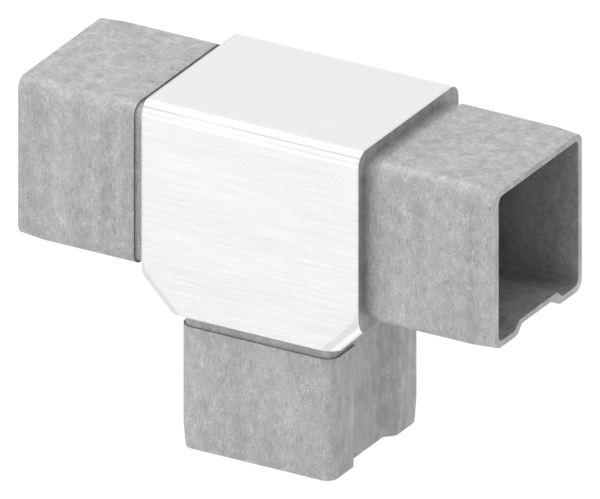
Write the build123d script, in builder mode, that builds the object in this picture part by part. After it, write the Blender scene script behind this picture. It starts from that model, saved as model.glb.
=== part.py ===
"""Tee connector for square rail tube, investment cast in one piece.

The brushed body has the tube's own outside size, so the tubes finish flush with it. Three hollow
spigots, left as cast, push into the bores of the tubes: one along +X, one along -X and one down.
Millimetres, +Z up. The part stands on the end of its leg, and the origin is the middle of that end.
"""

import os
from math import radians, tan

from build123d import *

# The square tube that the connector joins
tube_size = 40.0
tube_wall = 2.0
bore_clearance = 0.2  # left on each side between a spigot and the tube's bore

# The body
gusset = 5.0  # 45 degree flat between the run and the leg
body_edge_radius = 3.0

# The spigots, each from its shoulder outwards
spigot_length = 30.0
spigot_wall = 1.9
spigot_corner_radius = 2.8
passage_corner_radius = 1.5
neck_length = 3.0  # undercut that lets the tube close up to the shoulder
neck_depth = 0.5
lead_in_length = 5.2
lead_in_depth = 0.45

# The groove down one face of each spigot that clears the weld bead inside the tube, and the ridge
# that it raises inside the passage. Flank angles are measured from the groove's floor.
seam_depth = 2.4
seam_floor_width = 13.0
seam_flank_angle = 45.0
seam_floor_wall = 1.2
ridge_margin = 1.0  # how far the ridge's crest reaches past the groove's floor on each side
ridge_flank_angle = 40.0
seam_edge_radius = 1.2

# Sizes that follow
tube_half = tube_size / 2
shoulder_reach = tube_half + gusset  # from the crossing of the axes to each shoulder
crossing_height = shoulder_reach + spigot_length
spigot_size = tube_size - 2 * (tube_wall + bore_clearance)
passage_size = spigot_size - 2 * spigot_wall
neck_size = spigot_size - 2 * neck_depth
end_size = spigot_size - 2 * lead_in_depth
straight_length = spigot_length - neck_length - lead_in_length
seam_floor = spigot_size / 2 - seam_depth  # from the spigot's axis to the groove's floor
ridge_crest = seam_floor - seam_floor_wall

# Upright plane through the crossing of the axes, seen from the front
front_middle = Plane(origin=(0, 0, crossing_height), x_dir=(1, 0, 0), z_dir=(0, -1, 0))

# Shoulder planes. Each normal points out along the spigot, and each local -Y is its grooved side.
right_shoulder = Plane(origin=(shoulder_reach, 0, crossing_height), x_dir=(0, 1, 0), z_dir=(1, 0, 0))
left_shoulder = Plane(origin=(-shoulder_reach, 0, crossing_height), x_dir=(0, -1, 0), z_dir=(-1, 0, 0))
leg_shoulder = Plane(origin=(0, 0, crossing_height - shoulder_reach), x_dir=(0, -1, 0), z_dir=(0, 0, -1))
shoulders = (right_shoulder, left_shoulder, leg_shoulder)


def trapezoid(top, top_width, flank_angle):
    """Outline that is `top_width` wide at `top` below the axis and spreads down past the tube's size."""
    half_top = top_width / 2
    half_foot = half_top + (tube_half - top) / tan(radians(flank_angle))
    return [(-half_foot, -tube_half), (-half_top, -top), (half_top, -top), (half_foot, -tube_half)]


def notched_square(size, corner_radius, notch):
    """Rounded square with a notch in its lower side, and the notch's own corners eased."""
    RectangleRounded(size, size, corner_radius)
    square_corners = vertices()
    Polygon(*notch, align=None, mode=Mode.SUBTRACT)
    notch_corners = [corner for corner in vertices() if corner not in square_corners]
    fillet(notch_corners, radius=seam_edge_radius)


def spigot_section(size, corner_radius):
    """Outside of a spigot, with the seam groove in its lower side."""
    notched_square(size, corner_radius, trapezoid(seam_floor, seam_floor_width, seam_flank_angle))


def passage_section():
    """Bore of a spigot, with the ridge that backs the seam groove."""
    crest_width = seam_floor_width + 2 * ridge_margin
    notched_square(
        passage_size, passage_corner_radius, trapezoid(ridge_crest, crest_width, ridge_flank_angle)
    )


with BuildPart() as tee_connector:
    # Body: the front outline with its two gussets, as deep as the tube
    with BuildSketch(front_middle):
        with BuildLine():
            Polyline(
                (-shoulder_reach, tube_half),
                (shoulder_reach, tube_half),
                (shoulder_reach, -tube_half),
                (tube_half, -shoulder_reach),
                (-tube_half, -shoulder_reach),
                (-shoulder_reach, -tube_half),
                close=True,
            )
        make_face()
    extrude(amount=tube_half, both=True)

    # Long edges of the body: rounded along the top and the gussets, left sharp at the shoulders
    long_edges = (
        edges()
        .filter_by(GeomType.LINE)
        .filter_by(lambda edge: abs(edge.center().Y) > tube_half - 0.01)
        .filter_by(lambda edge: abs((edge % 0.5).X) > 0.01)
        .filter_by(lambda edge: edge.center().Z > crossing_height - shoulder_reach + 0.01)
    )
    fillet(long_edges, radius=body_edge_radius)

    # Spigots: undercut neck, straight run and tapered lead-in
    for shoulder in shoulders:
        with BuildSketch(shoulder):
            spigot_section(neck_size, spigot_corner_radius - neck_depth)
        extrude(amount=neck_length)
        with BuildSketch(shoulder.offset(neck_length)):
            spigot_section(spigot_size, spigot_corner_radius)
        extrude(amount=straight_length)
        with BuildSketch(shoulder.offset(neck_length + straight_length)):
            spigot_section(spigot_size, spigot_corner_radius)
        with BuildSketch(shoulder.offset(spigot_length)):
            spigot_section(end_size, spigot_corner_radius - lead_in_depth)
        loft(ruled=True)

    # Hollow inside: a square chamber at the crossing, rounded along its roof, and the three bores
    # that open into it
    with BuildSketch(front_middle):
        Rectangle(passage_size, passage_size)
    extrude(amount=passage_size / 2, both=True, mode=Mode.SUBTRACT)
    roof_edges = (
        edges(Select.LAST)
        .filter_by(Axis.X)
        .filter_by(lambda edge: edge.center().Z > crossing_height)
    )
    fillet(roof_edges, radius=passage_corner_radius)
    for shoulder in shoulders:
        with BuildSketch(shoulder.offset(spigot_length)):
            passage_section()
        extrude(amount=-(spigot_length + shoulder_reach - passage_size / 2), mode=Mode.SUBTRACT)

tee_connector.part.label = "tee_connector"

os.makedirs("parts", exist_ok=True)
export_step(tee_connector.part, "parts/tee_connector.step")
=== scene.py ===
"""Tee connector for square rail tube: the dressed casting, its two finishes and a plain studio.

The casting is drawn from the same sizes as the solid part. One hollow spigot is made as a run of
sections. Geometry Nodes set it three times round the crossing, weld it to the body and give the raw
skin its relief. Metres, +Z up. The origin is the middle of the leg's end.
"""
from math import atan2, cos, pi, radians, sin, sqrt, tan

import bmesh
import bpy
import numpy as np
from bpy.props import FloatProperty, FloatVectorProperty, IntProperty, PointerProperty
from mathutils import Euler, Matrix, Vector


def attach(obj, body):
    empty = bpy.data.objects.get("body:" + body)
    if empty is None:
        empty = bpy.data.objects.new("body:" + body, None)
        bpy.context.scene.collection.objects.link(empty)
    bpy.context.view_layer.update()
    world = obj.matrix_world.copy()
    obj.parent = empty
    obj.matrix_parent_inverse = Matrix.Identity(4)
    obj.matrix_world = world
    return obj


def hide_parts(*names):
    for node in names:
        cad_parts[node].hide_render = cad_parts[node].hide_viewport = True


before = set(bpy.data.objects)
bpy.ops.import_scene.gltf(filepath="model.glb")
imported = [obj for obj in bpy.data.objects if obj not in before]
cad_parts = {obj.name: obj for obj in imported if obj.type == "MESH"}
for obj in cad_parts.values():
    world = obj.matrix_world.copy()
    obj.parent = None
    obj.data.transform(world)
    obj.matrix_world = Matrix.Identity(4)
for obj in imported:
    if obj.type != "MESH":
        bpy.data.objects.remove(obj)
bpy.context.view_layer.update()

bl_info = {
    "name": "Tee connector for square tube",
    "version": (1, 0, 0),
    "blender": (4, 5, 0),
    "location": "3D View > Sidebar > Tee connector",
    "description": "Makes a cast tee connector for square tube, its finishes and a plain studio",
    "category": "Object",
}

MM = 0.001
NODE = "tee_connector"

# The view: a parallel one, laid out for an image of this width in pixels. Distances in metres.
IMAGE_WIDTH = 600
PIXELS_PER_MM = 5.013
VIEW_TURN = 30.0  # degrees to the right of the front
VIEW_RISE = 25.0  # degrees above the level
VIEW_CENTRE = (2.8 * MM, -4.85 * MM, 43.0 * MM)
VIEW_DISTANCE = 0.6
VIEW_DEPTH = 10.0  # how far the camera sees

# The studio
LAMP_DISTANCE = 0.9  # from each lamp to the middle of the view
FLOOR_HALF = 4.0
FLOOR_DROP = 0.01 * MM  # the floor lies this far under the leg's end
ROOM_LIGHT = 0.66  # strength of the white room on matt surfaces; in the metal and in view it is 1

# Soft lamps: azimuth and elevation in degrees, width and height in metres, power in watts, and
# whether the metal mirrors it. Only the top light shows in the metal, because the others would clip
# its pale surfaces.
LAMPS = (
    ("front light", -38.0, 34.0, 1.6, 0.90, 4.9, False),
    ("top light", -93.0, 63.0, 0.5, 0.50, 1.5, True),
    ("back light", 130.0, 45.0, 0.8, 0.80, 1.9, False),
)

WELD_DISTANCE = 0.002 * MM
FOOT_MARGIN = 0.9 * MM  # how far a spigot's foot reaches out on the shoulder
INNER_STEP_SHARE = 2.0  # the sections inside a spigot are this much farther apart
ROUND_SHARE = 0.4  # the most that a soft edge may take of the stretch next to it
BESIDE_ROUND = 1.25  # where the narrow row beside a soft edge lies, in the edge's softness
BESIDE_GROUND_EDGE = 1.4  # the same on the shoulder, in the softness of the ground edge
NEARLY_NOTHING = 1e-9  # stands in for a distance of nought where one divides

# How many steps each stretch of a section has, going anticlockwise from its lower left corner. The
# lower side holds the seam groove, and the upper side has as many steps, so that all sections and
# both skins of the tee join point to point.
CORNER_STEPS = 7
LIP_RUN_STEPS = 7
SEAM_EDGE_STEPS = 3
FLANK_STEPS = 3
FLOOR_STEPS = 16
SIDE_STEPS = 40
LOWER_STEPS = 2 * LIP_RUN_STEPS + 4 * SEAM_EDGE_STEPS + 2 * FLANK_STEPS + FLOOR_STEPS

# How many steps there are from row to row: round a soft edge, from the body's edge in to a spigot's
# foot, down a gusset, and down the same stretch of the chamber
EDGE_STEPS = 4
SHOULDER_STEPS = 4
GUSSET_STEPS = 10
CHAMBER_STEPS = 2

# Where each stretch of a section starts or ends. After the left side comes point 0 again.
LOWER_END = CORNER_STEPS + LOWER_STEPS
RIGHT_START = LOWER_END + CORNER_STEPS
RIGHT_END = RIGHT_START + SIDE_STEPS
UPPER_START = RIGHT_END + CORNER_STEPS
UPPER_END = UPPER_START + LOWER_STEPS
LEFT_START = UPPER_END + CORNER_STEPS
SECTION_POINTS = LEFT_START + SIDE_STEPS
CORNER_STARTS = (0, LOWER_END, RIGHT_END, UPPER_END)

# How each spigot is turned from its own frame, where it points up local Z and its groove is on
# local -Y: the grooves are under both arms and on the +X side of the leg
RIGHT_TURN = (pi / 2, 0.0, pi / 2)
LEFT_TURN = (pi / 2, 0.0, -pi / 2)
LEG_TURN = (pi, 0.0, -pi / 2)


def linear(hex_colour):
    """An sRGB hex colour as the linear colour that nodes and properties take."""
    channels = [int(hex_colour[index:index + 2], 16) / 255 for index in (1, 3, 5)]
    return [c / 12.92 if c <= 0.04045 else ((c + 0.055) / 1.055) ** 2.4 for c in channels]


def length(name, description, millimetres, least=0.0):
    """A size that the user can change, shown in the scene's unit of length."""
    return FloatProperty(
        name=name, description=description, default=millimetres * MM, min=least * MM,
        unit="LENGTH", precision=5,
    )


def fraction(name, description, default):
    """A share between none and all that the user can change."""
    return FloatProperty(name=name, description=description, default=default, min=0.0, max=1.0)


class ConnectorSizes(bpy.types.PropertyGroup):
    """Sizes of the casting."""

    tube_size: length("Tube size", "Outside of the square tube, and of the body", 40.0)
    tube_wall: length("Tube wall", "Wall of the tube that the spigots fit", 2.0)
    bore_clearance: length("Bore clearance", "Gap on each side of a spigot in its tube", 0.2)
    gusset: length("Gusset", "Legs of the 45 degree flats between run and leg", 5.0)
    body_edge_radius: length("Body edge radius", "Round along the top and the gussets", 3.0)
    spigot_length: length("Spigot length", "From shoulder to end", 30.0)
    spigot_wall: length("Spigot wall", "Wall of the hollow spigot", 1.9)
    spigot_corner_radius: length("Spigot corner radius", "Outside round of a spigot", 2.8)
    passage_corner_radius: length("Passage corner radius", "Inside round of a spigot", 1.5)
    neck_length: length("Neck length", "Undercut next to the shoulder", 3.0)
    neck_depth: length("Neck depth", "Depth of the undercut on each side", 0.5)
    lead_in_length: length("Lead-in length", "Tapered end of a spigot", 5.2)
    lead_in_depth: length("Lead-in depth", "What the taper takes off each side", 0.45)
    seam_depth: length("Seam groove depth", "Groove that clears the tube's weld bead", 2.4)
    seam_floor_width: length("Seam groove floor", "Width of the groove's floor", 13.0)
    seam_flank_angle: FloatProperty(
        name="Seam flank angle", description="Groove's flanks, from its floor",
        default=radians(45), subtype="ANGLE",
    )
    seam_floor_wall: length("Wall behind the groove", "Metal left under the groove's floor", 1.2)
    ridge_margin: length("Ridge margin", "How far the ridge inside is wider than the floor", 1.0)
    ridge_flank_angle: FloatProperty(
        name="Ridge flank angle", description="Ridge's flanks, from its crest",
        default=radians(40), subtype="ANGLE",
    )
    seam_edge_radius: length("Seam edge radius", "Round of the groove's and ridge's edges", 1.2)
    ground_edge: length("Ground edge", "Softness of the body's edges at the shoulders", 0.09)
    foot_edge: length("Foot edge", "Softness of the corner between neck and shoulder", 0.05)
    step_edge: length("Step edge", "Softness of the small step of the neck", 0.05)
    rim_edge: length("Rim edge", "Softness of the spigot's end", 0.12)
    taper_edge: length("Taper edge", "Softness of the bend where the lead-in starts", 1.2)
    mesh_step: length("Mesh step", "Distance between sections along a spigot", 0.8, 0.3)
    skin_relief: length("Skin relief", "How deep the raw skin rises and falls", 0.07)
    skin_grain: length("Skin grain", "Width of one hump of the raw skin", 2.4, 0.5)
    skin_seed: IntProperty(name="Skin seed", description="Which relief the skin has", default=7)


class ConnectorFinish(bpy.types.PropertyGroup):
    """Colours of the two finishes, and how dark the painted shade makes the skin in its corners and
    inside.
    """

    ground_steel: FloatVectorProperty(
        name="Ground steel", description="Brushed body", subtype="COLOR", min=0, max=1,
        default=linear("#f9f9f9"),
    )
    ground_mark: FloatVectorProperty(
        name="Grinding marks", description="Darker lines that the belt leaves", subtype="COLOR",
        min=0, max=1, default=linear("#dddddd"),
    )
    cast_dark: FloatVectorProperty(
        name="Cast skin, dark", description="Hollows of the raw skin", subtype="COLOR",
        min=0, max=1, default=linear("#9a9998"),
    )
    cast_pale: FloatVectorProperty(
        name="Cast skin, pale", description="Pale bloom of the raw skin", subtype="COLOR",
        min=0, max=1, default=linear("#d2d1d0"),
    )
    foot_shade: fraction("Foot shade", "Darkening where a neck meets its shoulder", 0.255)
    step_shade: fraction("Step shade", "Darkening of the neck's small step", 0.42)
    mouth_shade: fraction("Mouth shade", "Darkening of the skin just inside a mouth", 0.06)
    bore_shade: fraction("Bore shade", "Darkening of the skin far inside", 0.29)
    ridge_shade: fraction("Ridge shade", "Further darkening of the side with the ridge", 0.2)
    groove_shade: fraction("Groove shade", "Darkening of the seam groove's floor", 0.07)
    corner_relief: fraction("Corner relief", "How much less the foot is dark at its corners", 0.35)
    shoulder_fade: length("Shoulder fade", "How far the shade spreads on a shoulder", 4.2)
    neck_fade: length("Neck fade", "How far the shade spreads along a spigot", 2.2)
    corner_fade: length("Corner fade", "How far from a corner the foot is less dark", 2.5)
    bore_fade: length("Bore fade", "How far inside the shade deepens", 9.0)


def add_node(tree, kind, settings=None, links=None):
    """Adds a node, sets its properties, and fills its sockets with values or links from others."""
    made = tree.nodes.new(kind)
    for name, value in (settings or {}).items():
        setattr(made, name, value)
    for socket, source in (links or {}).items():
        if isinstance(source, bpy.types.NodeSocket):
            tree.links.new(source, made.inputs[socket])
        else:
            made.inputs[socket].default_value = source
    return made


def computed(tree, operation, *values):
    """Result of one sum on values or sockets."""
    return add_node(tree, "ShaderNodeMath", {"operation": operation},
                    dict(enumerate(values))).outputs[0]


def product(tree, first, second):
    """Two values or sockets multiplied."""
    return computed(tree, "MULTIPLY", first, second)


def scaled_sum(tree, value, factor, added):
    """One value or socket times a factor, plus another."""
    return computed(tree, "MULTIPLY_ADD", value, factor, added)


def corner_arc(before, here, after, radius, steps):
    """Points of the arc that rounds the corner `here`, from its tangent on one run to the other."""
    arriving = (here - before) / np.linalg.norm(here - before)
    leaving = (after - here) / np.linalg.norm(after - here)
    turn = atan2(arriving[0] * leaving[1] - arriving[1] * leaving[0], arriving @ leaving)
    start = here - arriving * radius * tan(abs(turn) / 2)
    to_centre = np.array((-arriving[1], arriving[0])) * (radius if turn > 0 else -radius)
    spokes = []
    for step in range(steps + 1):
        angle = turn * step / steps
        turned = np.array(((cos(angle), -sin(angle)), (sin(angle), cos(angle))))
        spokes.append(start + to_centre - turned @ to_centre)
    return spokes


def section(half, corner_radius, floor, floor_half, flank_angle, edge_radius):
    """Rounded square, anticlockwise, with a groove in its lower side, as (x, y) points."""
    lip = floor_half + (half - floor) / tan(flank_angle)
    corners = (
        ((-half, -half), corner_radius, CORNER_STEPS, LIP_RUN_STEPS),
        ((-lip, -half), edge_radius, SEAM_EDGE_STEPS, FLANK_STEPS),
        ((-floor_half, -floor), edge_radius, SEAM_EDGE_STEPS, FLOOR_STEPS),
        ((floor_half, -floor), edge_radius, SEAM_EDGE_STEPS, FLANK_STEPS),
        ((lip, -half), edge_radius, SEAM_EDGE_STEPS, LIP_RUN_STEPS),
        ((half, -half), corner_radius, CORNER_STEPS, SIDE_STEPS),
        ((half, half), corner_radius, CORNER_STEPS, LOWER_STEPS),
        ((-half, half), corner_radius, CORNER_STEPS, SIDE_STEPS),
    )
    places = [np.array(place) for place, _, _, _ in corners]
    arcs = [
        corner_arc(places[index - 1], place, places[(index + 1) % len(places)],
                   corners[index][1], corners[index][2])
        for index, place in enumerate(places)
    ]
    points = []
    for index, arc in enumerate(arcs):
        start, end = arc[-1], arcs[(index + 1) % len(arcs)][0]
        steps = corners[index][3]
        points += arc
        points += [start + (end - start) * step / steps for step in range(1, steps)]
    outline = np.array(points)

    # The upper side's points stand over those of the lower side, so that a tee's rows run straight
    upper = slice(UPPER_START, UPPER_END + 1)
    outline[upper, 0] = outline[CORNER_STEPS:LOWER_END + 1, 0][::-1]
    return outline


def at(outline, distance):
    """A flat outline as points in a spigot's own frame, that distance out from the crossing."""
    return np.column_stack((outline, np.full(len(outline), distance)))


def between(first, last, steps):
    """Even steps from one row of points to another, both included."""
    shares = np.linspace(0.0, 1.0, steps + 1)[:, None, None]
    return first + (last - first) * shares


def rounded(first, edge, last):
    """Rows of the round that stands in for a sharp edge, from one row beside it to the other."""
    return [first * (1 - share) ** 2 + edge * 2 * share * (1 - share) + last * share ** 2
            for share in np.linspace(0.0, 1.0, EDGE_STEPS + 1)]


def softened(before, edge, after, softness):
    """Rows that round a sharp edge between two rows, with a narrow row on each side of them."""
    reaches = []
    for other in (before, after):
        away = other - edge
        distance = np.linalg.norm(away, axis=1, keepdims=True)
        reach = np.minimum(softness, ROUND_SHARE * distance)
        reaches.append(away / np.maximum(distance, NEARLY_NOTHING) * reach)
    back, on = reaches
    return [edge + back * BESIDE_ROUND, *rounded(edge + back, edge, edge + on),
            edge + on * BESIDE_ROUND]


def joined_rows(stations, softness, spacing):
    """All rows of a surface that runs through the stations, rounded at each inner one. `spacing` is
    the distance between rows on the way to each station."""
    rows = [stations[0]]
    for index in range(1, len(stations)):
        if index + 1 < len(stations):
            bend = softened(*stations[index - 1:index + 2], softness[index])
        else:
            bend = [stations[index]]
        gap = np.median(np.linalg.norm(bend[0] - rows[-1], axis=1))
        steps = max(1, round(gap / spacing[index]))
        rows += list(between(rows[-1], bend[0], steps)[1:]) + bend[1:]
    return np.array(rows)


class Shell:
    """Collects grids of points and makes one mesh of them."""

    def __init__(self):
        self.points = []
        self.faces = []
        self.as_cast = []
        self.relief = []
        self.painted_shade = []

    def add(self, rows, closed, as_cast, relief, painted_shade):
        """A grid of rows. A closed one joins each row's last point to its first. For each point,
        `as_cast` says whether the face after it is raw skin, `relief` how much of the relief it
        takes, and the last argument how much painted shade darkens it, in corners, hollows and
        inside."""
        first = len(self.points)
        row_count, row_length = rows.shape[:2]
        self.points += [tuple(point) for point in rows.reshape(-1, 3)]
        raw, relief, painted_shade = (np.broadcast_to(values, (row_count, row_length))
                                for values in (as_cast, relief, painted_shade))
        self.relief += list(relief.ravel())
        self.painted_shade += list(painted_shade.ravel())
        for row in range(row_count - 1):
            for column in range(row_length if closed else row_length - 1):
                here = first + row * row_length + column
                beside = first + row * row_length + (column + 1) % row_length
                self.faces.append((here, beside, beside + row_length, here + row_length))
                self.as_cast.append(raw[row, column])

    def mesh(self, name):
        """The grids as one mesh, welded where they meet."""
        made = bpy.data.meshes.new(name)
        made.from_pydata(self.points, [], self.faces)
        raw = made.attributes.new("as_cast", "FLOAT", "FACE")
        raw.data.foreach_set("value", np.array(self.as_cast, np.float32))
        for layer, values in (("skin_relief", self.relief), ("painted_shade", self.painted_shade)):
            points = made.attributes.new(layer, "FLOAT", "POINT")
            points.data.foreach_set("value", np.array(values, np.float32))
        welded = bmesh.new()
        welded.from_mesh(made)
        bmesh.ops.remove_doubles(welded, verts=welded.verts, dist=WELD_DISTANCE)
        bmesh.ops.dissolve_degenerate(welded, edges=welded.edges, dist=WELD_DISTANCE)
        welded.to_mesh(made)
        welded.free()
        return made


def turned(rows, turn, crossing):
    """Rows from a spigot's own frame, set in the part's frame."""
    matrix = np.array(Euler(turn).to_matrix())
    return rows @ matrix.T + np.array(crossing)


def tee_skin(right, left, leg, gusset_steps):
    """Grids that join three section rows to one tee: across the run, down both gussets, and the two
    flat cheeks in front and behind."""
    across = between(right[list(range(RIGHT_START, SECTION_POINTS)) + [0]],
                     left[[0] + list(range(SECTION_POINTS - 1, RIGHT_START - 1, -1))], SIDE_STEPS)
    lower = np.arange(0, RIGHT_START + 1)
    right_gusset = between(right[lower], leg[RIGHT_START - lower], gusset_steps)
    left_gusset = between(left[lower], leg[LEFT_START - lower], gusset_steps)
    front = between(across[:, -1], leg[RIGHT_START:RIGHT_END + 1], gusset_steps)
    behind_leg = leg[list(range(LEFT_START, SECTION_POINTS)) + [0]]
    behind = between(across[::-1, 0], behind_leg, gusset_steps)
    return across, right_gusset, left_gusset, front, behind


class CONNECTOR_OT_make_casting(bpy.types.Operator):
    """Make the one-piece casting: ground body, three hollow spigots and the passages inside"""

    bl_idname = "connector.make_casting"
    bl_label = "Make the casting"

    def execute(self, context):
        sizes = context.scene.connector_sizes
        finish = context.scene.connector_finish
        tube_half = sizes.tube_size / 2
        reach = tube_half + sizes.gusset
        end = reach + sizes.spigot_length
        crossing = (0.0, 0.0, end)
        spigot_half = tube_half - sizes.tube_wall - sizes.bore_clearance
        passage_half = spigot_half - sizes.spigot_wall
        seam_floor = spigot_half - sizes.seam_depth
        floor_half = sizes.seam_floor_width / 2

        def outside(taken_off):
            """Outside section of a spigot, smaller by that much on each side. The groove stays."""
            return section(
                spigot_half - taken_off, sizes.spigot_corner_radius - taken_off, seam_floor,
                floor_half, sizes.seam_flank_angle, sizes.seam_edge_radius,
            )

        neck = outside(sizes.neck_depth)
        foot = section(
            spigot_half - sizes.neck_depth + FOOT_MARGIN,
            sizes.spigot_corner_radius - sizes.neck_depth + FOOT_MARGIN, seam_floor + FOOT_MARGIN,
            floor_half, sizes.seam_flank_angle, sizes.seam_edge_radius,
        )
        passage = section(
            passage_half, sizes.passage_corner_radius, seam_floor - sizes.seam_floor_wall,
            floor_half + sizes.ridge_margin, sizes.ridge_flank_angle, sizes.seam_edge_radius,
        )

        # One spigot, from its foot on the shoulder, over the rim and back to the chamber
        stations = (
            at(foot, reach),
            at(neck, reach),
            at(neck, reach + sizes.neck_length),
            at(outside(0.0), reach + sizes.neck_length),
            at(outside(0.0), end - sizes.lead_in_length),
            at(outside(sizes.lead_in_depth), end),
            at(passage, end),
            at(passage, passage_half),
        )
        softness = (0.0, sizes.foot_edge, sizes.step_edge, sizes.step_edge, sizes.taper_edge,
                    sizes.rim_edge, sizes.rim_edge, 0.0)
        inner_step = sizes.mesh_step * INNER_STEP_SHARE
        spacing = [sizes.mesh_step] * (len(stations) - 1) + [inner_step]
        rows = joined_rows(stations, softness, spacing)

        # Painted shade at each neck's foot, less near its corners, where more light reaches
        corners = neck[[first + CORNER_STEPS // 2 for first in CORNER_STARTS]]
        from_corner = np.linalg.norm(neck[:, None] - corners, axis=2).min(axis=1)
        foot_shade = finish.foot_shade * (
            1 - finish.corner_relief * np.exp(-(from_corner / finish.corner_fade) ** 2))

        def foot_painted_shade(rows):
            """Painted shade of points that are out on the shoulder or along the neck."""
            aside = np.linalg.norm(rows[:, :, :2] - neck, axis=2)
            above = np.maximum(rows[:, :, 2] - reach, 0.0)
            return (foot_shade * np.exp(-(aside / finish.shoulder_fade) ** 2)
                    * np.exp(-above / finish.neck_fade))

        def spigot_painted_shade(rows):
            """Painted shade of a spigot's points: darker at its foot, on the neck's step, in the
            groove and far inside."""
            aside = np.linalg.norm(rows[:, :, :2] - neck, axis=2)
            above = rows[:, :, 2] - reach
            on_step = (np.abs(above - sizes.neck_length) < sizes.step_edge / 2)
            on_step &= (aside > sizes.step_edge) & (aside < sizes.neck_depth - sizes.step_edge)
            depth = np.maximum(end - rows[:, :, 2], 0.0)
            wall_left = np.abs(rows[:, RIGHT_START, 0] - passage[RIGHT_START, 0])[:, None]
            inside = (wall_left < sizes.rim_edge) & (depth > sizes.rim_edge / 2)
            # Inside, painted shade deepens with depth, and is stronger on the side with the ridge
            deepening = 1 - np.exp(-depth / finish.bore_fade)
            inner_shade = finish.mouth_shade + (finish.bore_shade - finish.mouth_shade) * deepening
            inner_shade[:, :RIGHT_START] += finish.ridge_shade

            # Outside, the painted shade in the groove is darker the deeper it lies
            outer_shade = foot_painted_shade(rows)
            lower = slice(CORNER_STEPS, LOWER_END + 1)
            sunk = np.clip((rows[:, lower, 1] + spigot_half) / sizes.seam_depth, 0.0, 1.0)
            outer_shade[:, lower] += finish.groove_shade * sunk
            shade = np.where(inside, inner_shade, outer_shade)
            return np.where(on_step, finish.step_shade, shade)

        spigot = Shell()
        spigot.add(rows, True, 1.0, 1.0, spigot_painted_shade(rows))
        spigot_mesh = spigot.mesh("spigot")
        spigot_source = bpy.data.objects.new("spigot_source", spigot_mesh)
        context.scene.collection.objects.link(spigot_source)

        # The body: outlines at the shoulders, the rounds of their edges, and the skin between them
        lower_x = neck[CORNER_STEPS:LOWER_END + 1, 0] / neck[LOWER_END, 0]
        slant_height = sizes.body_edge_radius * sqrt(2)

        def shoulder_outline(drawn_in, upper_height):
            """Outline of the body at a shoulder. The gusset's rounds meet the shoulder at a slant,
            so they are taller than wide there."""
            radius = sizes.body_edge_radius
            flat = tube_half - radius
            points = []
            quarter = np.linspace(0, pi / 2, CORNER_STEPS + 1)
            for quadrant, height in ((2, slant_height), (3, slant_height), (0, upper_height),
                                     (1, upper_height)):
                angles = quarter + quadrant * pi / 2
                x_sign = 1 if quadrant in (0, 3) else -1
                y_sign = 1 if quadrant in (0, 1) else -1
                arc = np.column_stack((
                    x_sign * flat + (radius - drawn_in) * np.cos(angles),
                    y_sign * (tube_half - height) + (height - drawn_in) * np.sin(angles),
                ))
                points.append(arc)
            lower_left, lower_right, upper_right, upper_left = points
            lower_y = np.full(LOWER_STEPS - 1, -tube_half + drawn_in)
            lower = np.column_stack((lower_x[1:-1] * flat, lower_y))
            upper = np.column_stack((-lower_x[1:-1] * flat, -lower_y))
            right_side = between(lower_right[-1:], upper_right[:1], SIDE_STEPS)[1:-1, 0]
            left_side = between(upper_left[-1:], lower_left[:1], SIDE_STEPS)[1:-1, 0]
            return np.concatenate((lower_left, lower, lower_right, right_side, upper_right, upper,
                                   upper_left, left_side))

        def shoulder_rows(upper_height, upper_slants):
            """Rows round a shoulder in its spigot's frame, from the body's skin over the edge and
            in to the spigot's foot. The skin falls back along the spigot's axis, or along a
            gusset."""
            edge = at(shoulder_outline(0.0, upper_height), reach)
            back = np.zeros_like(edge)
            back[:, 2] = -sizes.ground_edge
            back[0:RIGHT_START + 1, 1] = -sizes.ground_edge
            if upper_slants:
                back[RIGHT_END:LEFT_START + 1, 1] = sizes.ground_edge
            skin = edge + back
            for first, last in ((RIGHT_START, RIGHT_END), (LEFT_START, SECTION_POINTS)):
                ends = skin[[first]], skin[[last % SECTION_POINTS]]
                skin[first + 1:last] = between(*ends, SIDE_STEPS)[1:-1, 0]
            face = at(shoulder_outline(sizes.ground_edge, upper_height), reach)
            farther_in = BESIDE_GROUND_EDGE * sizes.ground_edge
            beside = at(shoulder_outline(farther_in, upper_height), reach)
            onwards = between(beside, at(foot, reach), SHOULDER_STEPS)
            return np.array(rounded(skin, edge, face) + list(onwards))

        body = Shell()
        skins = []
        for turn, upper_height, upper_slants in (
            (RIGHT_TURN, sizes.body_edge_radius, False),
            (LEFT_TURN, sizes.body_edge_radius, False),
            (LEG_TURN, slant_height, True),
        ):
            own_rows = shoulder_rows(upper_height, upper_slants)
            rows = turned(own_rows, turn, crossing)

            # The belt has reached the outer half of each edge's round, but not along the gussets
            raw = np.ones(rows.shape[:2])
            raw[:EDGE_STEPS // 2] = 0.0
            raw[:, CORNER_STEPS // 2:LOWER_END + CORNER_STEPS // 2] = 1.0
            relief = (np.arange(len(rows)) > EDGE_STEPS + 1)[:, None]
            body.add(rows, True, raw, relief, foot_painted_shade(own_rows))
            skins.append(rows[0])
        for grid in tee_skin(*skins, GUSSET_STEPS):
            body.add(grid, False, 0.0, 0.0, 0.0)

        # The chamber where the passages meet, darkened all over with the bore's painted shade
        mouths = [turned(at(passage, passage_half), turn, crossing)
                  for turn in (RIGHT_TURN, LEFT_TURN, LEG_TURN)]
        for grid in tee_skin(*mouths, CHAMBER_STEPS):
            body.add(grid, False, 1.0, 1.0, finish.bore_shade)

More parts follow.
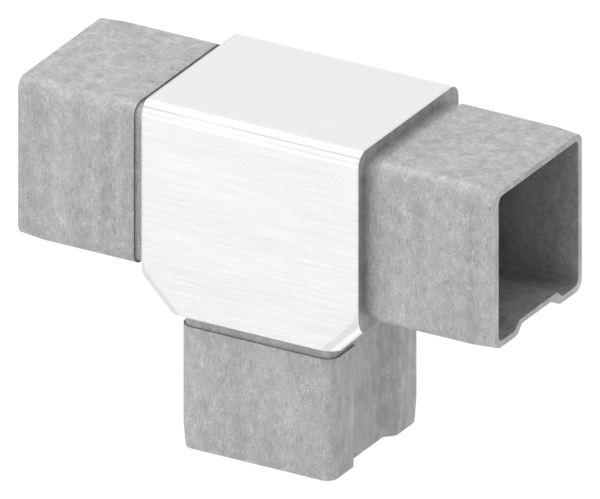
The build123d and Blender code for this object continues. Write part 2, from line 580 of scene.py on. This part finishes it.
        casting = bpy.data.objects.new("tee_casting", body.mesh("tee_casting"))
        context.scene.collection.objects.link(casting)
        ground = ground_stainless(finish)
        cast = cast_skin(finish)
        dress = casting.modifiers.new("spigots and skin", "NODES")
        dress.node_group = casting_tree()
        values = {
            "Spigot": spigot_source, "Crossing height": end, "Weld distance": WELD_DISTANCE,
            "Skin relief": sizes.skin_relief, "Skin grain": sizes.skin_grain,
            "Seed": sizes.skin_seed, "Ground steel": ground, "Cast skin": cast,
        }
        for socket in dress.node_group.interface.items_tree:
            if socket.name in values:
                dress[socket.identifier] = values[socket.name]
        context.view_layer.update()
        evaluated = casting.evaluated_get(context.evaluated_depsgraph_get())
        finished = bpy.data.meshes.new_from_object(evaluated)
        casting.modifiers.remove(dress)
        casting.data = finished
        bpy.data.objects.remove(spigot_source)

        shell = bmesh.new()
        shell.from_mesh(finished)
        bmesh.ops.recalc_face_normals(shell, faces=shell.faces)
        open_edges = sum(not edge.is_manifold for edge in shell.edges)
        if shell.calc_volume(signed=True) < 0:
            bmesh.ops.reverse_faces(shell, faces=shell.faces)
        shell.to_mesh(finished)
        shell.free()
        if open_edges:
            raise RuntimeError(f"the casting has {open_edges} edges that don't join two faces")

        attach(casting, "root")
        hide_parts(NODE)
        return {"FINISHED"}


def casting_tree():
    """Sets three spigots round the crossing, welds them to the body, raises the raw skin and gives
    each face its finish."""
    tree = bpy.data.node_groups.new("Tee casting", "GeometryNodeTree")
    for name, kind in (
        ("Geometry", "NodeSocketGeometry"), ("Spigot", "NodeSocketObject"),
        ("Crossing height", "NodeSocketFloat"), ("Weld distance", "NodeSocketFloat"),
        ("Skin relief", "NodeSocketFloat"), ("Skin grain", "NodeSocketFloat"),
        ("Seed", "NodeSocketInt"), ("Ground steel", "NodeSocketMaterial"),
        ("Cast skin", "NodeSocketMaterial"),
    ):
        tree.interface.new_socket(name, in_out="INPUT", socket_type=kind)
    tree.interface.new_socket("Geometry", in_out="OUTPUT", socket_type="NodeSocketGeometry")
    given = add_node(tree, "NodeGroupInput").outputs

    # Three spigots at the crossing, each with its own turn
    place = add_node(tree, "ShaderNodeCombineXYZ", links={"Z": given["Crossing height"]})
    points = add_node(tree, "GeometryNodePoints", links={"Count": 3, "Position": place.outputs[0]})
    index = add_node(tree, "GeometryNodeInputIndex")
    turns = add_node(tree, "GeometryNodeIndexSwitch", {"data_type": "ROTATION"})
    turns.index_switch_items.new()
    tree.links.new(index.outputs[0], turns.inputs["Index"])
    for socket, turn in zip(turns.inputs[1:4], (RIGHT_TURN, LEFT_TURN, LEG_TURN)):
        socket.default_value = turn
    source = add_node(tree, "GeometryNodeObjectInfo", links={"Object": given["Spigot"]})
    spigots = add_node(tree, "GeometryNodeInstanceOnPoints", links={
        "Points": points.outputs[0], "Instance": source.outputs["Geometry"],
        "Rotation": turns.outputs[0],
    })
    together = add_node(tree, "GeometryNodeJoinGeometry")
    tree.links.new(spigots.outputs[0], together.inputs[0])
    tree.links.new(given["Geometry"], together.inputs[0])
    real = add_node(tree, "GeometryNodeRealizeInstances", links={"Geometry": together.outputs[0]})
    welded = add_node(tree, "GeometryNodeMergeByDistance", links={
        "Geometry": real.outputs[0], "Distance": given["Weld distance"],
    })

    # Raw skin: soft humps that only sink in from the sizes, so the casting stays inside its box
    position = add_node(tree, "GeometryNodeInputPosition")
    humps = add_node(tree, "ShaderNodeTexNoise", {"noise_dimensions": "4D"}, {
        "Vector": position.outputs[0], "W": given["Seed"],
        "Scale": computed(tree, "DIVIDE", 1.0, given["Skin grain"]), "Detail": 2.0,
        "Roughness": 0.5,
    })
    relief = add_node(tree, "GeometryNodeInputNamedAttribute", {"data_type": "FLOAT"},
                      {"Name": "skin_relief"})
    sunk = product(tree, product(tree, humps.outputs[0], given["Skin relief"]),
                   relief.outputs["Attribute"])
    normal = add_node(tree, "GeometryNodeInputNormal")
    offset = add_node(tree, "ShaderNodeVectorMath", {"operation": "SCALE"},
                      {"Vector": normal.outputs[0], "Scale": product(tree, sunk, -1.0)})
    skinned = add_node(tree, "GeometryNodeSetPosition",
                       links={"Geometry": welded.outputs[0], "Offset": offset.outputs[0]})
    smooth = add_node(tree, "GeometryNodeSetShadeSmooth", links={"Geometry": skinned.outputs[0]})
    ground = add_node(tree, "GeometryNodeSetMaterial",
                      links={"Geometry": smooth.outputs[0], "Material": given["Ground steel"]})
    raw = add_node(tree, "GeometryNodeInputNamedAttribute", {"data_type": "FLOAT"},
                   {"Name": "as_cast"})
    is_raw = add_node(tree, "FunctionNodeCompare", {"data_type": "FLOAT"},
                      {"A": raw.outputs["Attribute"], "B": 0.5})
    dressed = add_node(tree, "GeometryNodeSetMaterial", links={
        "Geometry": ground.outputs[0], "Selection": is_raw.outputs[0],
        "Material": given["Cast skin"],
    })
    add_node(tree, "NodeGroupOutput", links={0: dressed.outputs[0]})
    return tree


def pattern(tree, place, widths, detail=0.0, roughness=0.5, bend=0.0):
    """Noise whose humps have these widths along X, Y and Z, in millimetres."""
    scaled = add_node(tree, "ShaderNodeMapping",
                      links={"Vector": place, "Scale": [1 / (width * MM) for width in widths]})
    return add_node(tree, "ShaderNodeTexNoise", links={
        "Vector": scaled.outputs[0], "Scale": 1.0, "Detail": detail, "Roughness": roughness,
        "Distortion": bend,
    }).outputs[0]


def eased(tree, value, start, stop, first=0.0, last=1.0):
    """A value that goes smoothly from `first` to `last` while another goes from start to stop."""
    return add_node(tree, "ShaderNodeMapRange", {"interpolation_type": "SMOOTHSTEP"}, {
        "Value": value, "From Min": start, "From Max": stop, "To Min": first, "To Max": last,
    }).outputs[0]


def darkened(tree, colour, kept):
    """A colour with only that share of its light kept."""
    return add_node(tree, "ShaderNodeVectorMath", {"operation": "SCALE"},
                    {0: colour, "Scale": kept}).outputs[0]


def line_at(tree, value, centre, half_width):
    """1 where a value passes `centre`, falling to 0 at `half_width` from it."""
    away = computed(tree, "ABSOLUTE", computed(tree, "SUBTRACT", value, centre))
    return eased(tree, away, 0.0, half_width, 1.0, 0.0)


def blended(tree, kind, share, first, second):
    """A mix of two values or colours."""
    return add_node(tree, "ShaderNodeMix", {"data_type": kind},
                    {"Factor": share, "A": first, "B": second}).outputs["Result"]


def new_material(name):
    """A material without nodes, and its node tree."""
    material = bpy.data.materials.new(name)
    material.use_nodes = True
    material.node_tree.nodes.clear()
    return material, material.node_tree


def own_space(tree):
    """Sockets for the place on an object, and for the parts of the normal there."""
    coordinates = add_node(tree, "ShaderNodeTexCoord").outputs
    facing = add_node(tree, "ShaderNodeSeparateXYZ", links={0: coordinates["Normal"]}).outputs
    return coordinates["Object"], facing


def ground_stainless(finish):
    """Stainless steel ground on a fine belt along the run: bright and nearly white, with hair lines
    that all run one way, fainter on the level top, rounds turned pure white as a partly painted
    highlight with two fine darker lines, and painted reflections on the gussets."""
    material, tree = new_material("belt_ground_stainless")
    place, facing = own_space(tree)
    scratch_depth = 0.002 * MM
    hair_contrast = 1.15
    round_line_dark, painted_grey_band_dark, painted_gusset_dark = 0.29, 0.12, 0.46

    # Hair lines, under a fifth of a millimetre wide and some 10 mm long, coarser ones between them,
    # and a slow change from one broad strip to the next
    fine = pattern(tree, place, (10.0, 0.18, 0.18), detail=2.0)
    coarse = pattern(tree, place, (25.0, 0.7, 0.7), detail=1.0)
    strips = pattern(tree, place, (45.0, 9.0, 9.0), detail=1.0)
    lines = scaled_sum(tree, coarse, 0.3, fine)
    shown = scaled_sum(tree, strips, 0.3, lines)
    usual = 0.8  # what the three come to in the middle of their range

    # On the level top the lines keep a fifth of their contrast
    quiet = eased(tree, facing["Z"], 0.6, 0.95, 1.0, 0.2)
    marks = scaled_sum(tree, computed(tree, "SUBTRACT", shown, usual),
                       product(tree, quiet, hair_contrast), 0.5)
    steel = blended(tree, "RGBA", marks, (*finish.ground_steel, 1), (*finish.ground_mark, 1))

    # The long rounds have no hair lines and are turned pure white, partly a painted highlight, with
    # two fine darker lines along them that grow fainter and stronger along their length.
    slant = computed(tree, "ABSOLUTE", facing["X"])
    depth = computed(tree, "ABSOLUTE", facing["Y"])
    on_round = product(tree, eased(tree, facing["Z"], 0.03, 0.10), eased(tree, depth, 0.25, 0.50))
    line_pair = scaled_sum(tree, line_at(tree, facing["Z"], 0.29, 0.09), 0.55,
                        line_at(tree, facing["Z"], 0.635, 0.075))
    line_noise = pattern(tree, place, (18.0, 1.2, 1.2), detail=2.0)
    line_strength = product(tree, on_round, eased(tree, line_noise, 0.35, 0.60, 0.45, 1.15))
    lines_on_round = product(tree, line_pair, line_strength)

    # Painted reflections on the gussets: their rounds get a grey band and then a bright one, and
    # their flats are darkened
    on_gusset = eased(tree, slant, 0.30, 0.47)
    painted_grey_band = computed(tree, "SUBTRACT", eased(tree, slant, 0.03, 0.08), on_gusset)
    on_flat = eased(tree, slant, 0.61, 0.70)

    # Painted highlight: the long rounds and the gussets' rounds are turned pure white
    painted_white = computed(tree, "MAXIMUM", on_round, on_gusset)
    bright = blended(tree, "RGBA", painted_white, steel, (1, 1, 1, 1))
    lost = scaled_sum(tree, lines_on_round, round_line_dark, product(tree, painted_grey_band, painted_grey_band_dark))
    lost = scaled_sum(tree, on_flat, painted_gusset_dark, lost)
    colour = darkened(tree, bright, computed(tree, "SUBTRACT", 1.0, lost))

    roughness = eased(tree, marks, 0.0, 1.0, 0.22, 0.32)
    bump = add_node(tree, "ShaderNodeBump", links={
        "Height": lines, "Distance": scratch_depth, "Strength": product(tree, quiet, 0.5),
    })
    surface = add_node(tree, "ShaderNodeBsdfPrincipled", links={
        "Base Color": colour, "Metallic": 1.0, "Roughness": roughness, "Normal": bump.outputs[0],
    })
    add_node(tree, "ShaderNodeOutputMaterial", links={"Surface": surface.outputs[0]})
    return material


def cast_skin(finish):
    """Investment-cast stainless steel, blasted and left raw: matt grey with broad bands, a cloudy
    bloom, fine streaks, pale flecks and short dark marks, with painted shade at the necks, on
    their steps, in the grooves and inside, and on the faces across the run."""
    material, tree = new_material("investment_cast_stainless")
    place, facing = own_space(tree)
    grain_height = 0.03 * MM
    fleck_pale, mark_dark = 0.35, 0.35
    level = eased(tree, computed(tree, "ABSOLUTE", facing["Z"]), 0.45, 0.9)
    sideways = eased(tree, computed(tree, "ABSOLUTE", facing["X"]), 0.45, 0.9)

    def by_face(front, across, flat):
        """One number for front and back, one for faces across the run, one for level faces."""
        upright = scaled_sum(tree, sideways, across - front, front)
        return scaled_sum(tree, level, flat - front, upright)

    # Broad bands up the upright faces, and soft patches that are drawn out upwards on the faces
    # across the run
    bands = pattern(tree, place, (6.0, 6.0, 60.0), detail=1.0, roughness=0.6)
    even_patches = pattern(tree, place, (2.6, 2.6, 3.5), detail=3.0, roughness=0.8)
    long_patches = pattern(tree, place, (4.5, 4.5, 10.0), detail=3.0, roughness=0.7)
    patches = blended(tree, "FLOAT", sideways, even_patches, long_patches)

    # The mould's fine grit, which is rough and pale in the bloom and faint outside it. There is
    # less bloom on the faces across the run.
    cloud = pattern(tree, place, (3.0, 3.0, 4.5), detail=4.0, roughness=0.9)
    bloom = product(tree, eased(tree, cloud, 0.46, 0.68), by_face(1.0, 0.7, 1.0))
    grit = pattern(tree, place, (0.22, 0.22, 0.36), detail=1.0, roughness=0.7)
    grit_contrast = product(tree, scaled_sum(tree, bloom, 1.5, 0.8), by_face(1.0, 1.0, 0.9))

    # Streaks down the upright faces, longer on those across the run, and wrinkles on level ones
    short_streaks = pattern(tree, place, (0.3, 0.3, 1.6), detail=2.0)
    long_streaks = pattern(tree, place, (1.8, 1.8, 4.5), detail=4.0, roughness=0.6)
    wrinkles = pattern(tree, place, (1.1, 0.5, 1.1), detail=3.0, roughness=0.7, bend=0.8)
    streaks = blended(tree, "FLOAT", sideways, short_streaks, long_streaks)
    grain = blended(tree, "FLOAT", level, streaks, wrinkles)

    # Pale flecks in the bloom, and thin dark lines that run like the streaks and wrinkles
    fleck = eased(tree, pattern(tree, place, (0.3, 0.3, 0.45), detail=1.0), 0.54, 0.72)
    upright_lines = pattern(tree, place, (0.22, 0.22, 2.2), detail=1.0)
    level_lines = pattern(tree, place, (1.0, 0.35, 1.0), detail=1.0, bend=1.5)
    thin = eased(tree, blended(tree, "FLOAT", level, upright_lines, level_lines), 0.58, 0.74)

    # The tone goes from 0, all dark, to 1, all pale. Each layer moves it both ways from its middle.
    # The faces across the run start a tenth darker: painted shade
    tone = by_face(0.42, 0.32, 0.42)
    for layer, contrast in (
        (bands, by_face(0.75, 0.75, 0.35)), (patches, by_face(0.8, 0.6, 1.25)),
        (grain, by_face(0.6, 1.2, 1.15)), (bloom, 0.2), (grit, grit_contrast),
    ):
        tone = scaled_sum(tree, computed(tree, "SUBTRACT", layer, 0.5), contrast, tone)
    tone = scaled_sum(tree, product(tree, fleck, bloom), fleck_pale, tone)
    tone = scaled_sum(tree, thin, by_face(-0.30, -0.10, -0.45), tone)
    skin = blended(tree, "RGBA", tone, (*finish.cast_dark, 1), (*finish.cast_pale, 1))

    # Short dark marks in a few places, where bits of the mould have stuck
    vein = line_at(tree, pattern(tree, place, (1.1, 1.1, 1.1), detail=1.0, bend=0.5), 0.5, 0.05)
    spot = eased(tree, pattern(tree, place, (2.6, 2.6, 2.6), detail=1.0), 0.66, 0.74)
    marks = product(tree, vein, spot)

    # Painted shade at the necks, in the grooves and inside, read from the mesh
    painted_shade = add_node(tree, "ShaderNodeAttribute", {"attribute_name": "painted_shade"}).outputs["Fac"]
    colour = darkened(tree, skin, product(tree, computed(tree, "SUBTRACT", 1.0, painted_shade),
                                          scaled_sum(tree, marks, -mark_dark, 1.0)))

    bump = add_node(tree, "ShaderNodeBump", links={
        "Height": computed(tree, "SUBTRACT", tone, marks), "Distance": grain_height,
        "Strength": 0.6,
    })
    surface = add_node(tree, "ShaderNodeBsdfPrincipled", links={
        "Base Color": colour, "Metallic": 0.35, "Roughness": 0.52, "Normal": bump.outputs[0],
    })
    add_node(tree, "ShaderNodeOutputMaterial", links={"Surface": surface.outputs[0]})
    return material


def set_round_middle(scene, item, azimuth, elevation, distance):
    """Links a camera or lamp into the scene and points it at the middle of the view, from that many
    degrees round to the right of the front and above the level."""
    across, up = radians(azimuth), radians(elevation)
    outwards = Vector((sin(across) * cos(up), -cos(across) * cos(up), sin(up)))
    item.location = Vector(VIEW_CENTRE) + outwards * distance
    item.rotation_euler = outwards.to_track_quat("Z", "Y").to_euler()
    scene.collection.objects.link(item)


class CONNECTOR_OT_make_stage(bpy.types.Operator):
    """Make the plain studio: pale floor, soft lamps, world and camera"""

    bl_idname = "connector.make_stage"
    bl_label = "Make the stage"

    def execute(self, context):
        scene = context.scene
        camera = bpy.data.objects.new("camera", bpy.data.cameras.new("camera"))
        camera.data.type = "ORTHO"
        camera.data.ortho_scale = IMAGE_WIDTH / PIXELS_PER_MM * MM
        camera.data.clip_end = VIEW_DEPTH
        set_round_middle(scene, camera, VIEW_TURN, VIEW_RISE, VIEW_DISTANCE)
        scene.camera = camera

        for name, azimuth, elevation, width, height, power, in_metal in LAMPS:
            lamp = bpy.data.objects.new(name, bpy.data.lights.new(name, "AREA"))
            lamp.data.shape = "RECTANGLE"
            lamp.data.size = width
            lamp.data.size_y = height
            lamp.data.energy = power
            lamp.visible_glossy = in_metal
            set_round_middle(scene, lamp, azimuth, elevation, LAMP_DISTANCE)

        floor_mesh = bpy.data.meshes.new("floor")
        corners = [(x * FLOOR_HALF, y * FLOOR_HALF, 0.0)
                   for x, y in ((-1, -1), (1, -1), (1, 1), (-1, 1))]
        floor_mesh.from_pydata(corners, [], [(0, 1, 2, 3)])
        floor_mesh.materials.append(pale_floor())
        floor = bpy.data.objects.new("floor", floor_mesh)
        floor.location.z = -FLOOR_DROP
        scene.collection.objects.link(floor)

        # A white room, at full strength in view and in the metal, and weaker as a light
        scene.world = bpy.data.worlds.new("studio")
        scene.world.use_nodes = True
        tree = scene.world.node_tree
        tree.nodes.clear()
        in_view, in_metal = seen_directly(tree)
        mirrored = add_node(tree, "ShaderNodeMapRange", links={
            "Value": in_metal, "To Min": ROOM_LIGHT, "To Max": 1.0,
        })
        light = add_node(tree, "ShaderNodeBackground", links={
            "Color": (1, 1, 1, 1),
            "Strength": computed(tree, "MAXIMUM", mirrored.outputs[0], in_view),
        })
        add_node(tree, "ShaderNodeOutputWorld", links={"Surface": light.outputs[0]})
        scene.view_settings.view_transform = "Standard"
        return {"FINISHED"}


def seen_directly(tree):
    """Two sockets: 1 for a ray from the camera, and 1 for one from the metal or from glass."""
    path = add_node(tree, "ShaderNodeLightPath").outputs
    in_metal = computed(tree, "MAXIMUM", path["Is Glossy Ray"], path["Is Transmission Ray"])
    return path["Is Camera Ray"], in_metal


def pale_floor():
    """Matt white sheet, lit evenly from behind as well, that looks white to the camera and in the
    metal, and keeps a faint shadow."""
    material, tree = new_material("white_sheet")
    in_view, in_metal = seen_directly(tree)
    surface = None
    for ray, glow, matt in ((None, 0.70, 0.15), (in_metal, 0.67, 0.36), (in_view, 0.95, 0.10)):
        sheet = add_node(tree, "ShaderNodeBsdfDiffuse", links={"Color": (matt, matt, matt, 1)})
        light = add_node(tree, "ShaderNodeEmission",
                         links={"Color": (1, 1, 1, 1), "Strength": glow})
        shown = add_node(tree, "ShaderNodeAddShader",
                         links={0: sheet.outputs[0], 1: light.outputs[0]})
        if surface:
            shown = add_node(tree, "ShaderNodeMixShader",
                             links={0: ray, 1: surface.outputs[0], 2: shown.outputs[0]})
        surface = shown
    add_node(tree, "ShaderNodeOutputMaterial", links={"Surface": surface.outputs[0]})
    return material


class CONNECTOR_PT_sidebar(bpy.types.Panel):
    """Lists the pieces that the add-on makes, with their sizes and colours"""

    bl_idname = "CONNECTOR_PT_sidebar"
    bl_label = "Tee connector"
    bl_space_type = "VIEW_3D"
    bl_region_type = "UI"
    bl_category = "Tee connector"

    def draw(self, context):
        layout = self.layout
        layout.operator(CONNECTOR_OT_make_casting.bl_idname)
        layout.operator(CONNECTOR_OT_make_stage.bl_idname)
        for group in (context.scene.connector_sizes, context.scene.connector_finish):
            column = layout.column()
            for name in group.bl_rna.properties.keys():
                if name not in ("rna_type", "name"):
                    column.prop(group, name)


CLASSES = (
    ConnectorSizes, ConnectorFinish, CONNECTOR_OT_make_casting, CONNECTOR_OT_make_stage,
    CONNECTOR_PT_sidebar,
)


def register():
    """Makes the classes known, and gives the scene its sizes and colours."""
    for kind in CLASSES:
        bpy.utils.register_class(kind)
    bpy.types.Scene.connector_sizes = PointerProperty(type=ConnectorSizes)
    bpy.types.Scene.connector_finish = PointerProperty(type=ConnectorFinish)


def unregister():
    """Takes back what register did."""
    del bpy.types.Scene.connector_finish
    del bpy.types.Scene.connector_sizes
    for kind in reversed(CLASSES):
        bpy.utils.unregister_class(kind)


def main():
    """Makes the stage and the casting."""
    register()
    bpy.ops.connector.make_stage()
    bpy.ops.connector.make_casting()


if __name__ == "__main__":
    main()
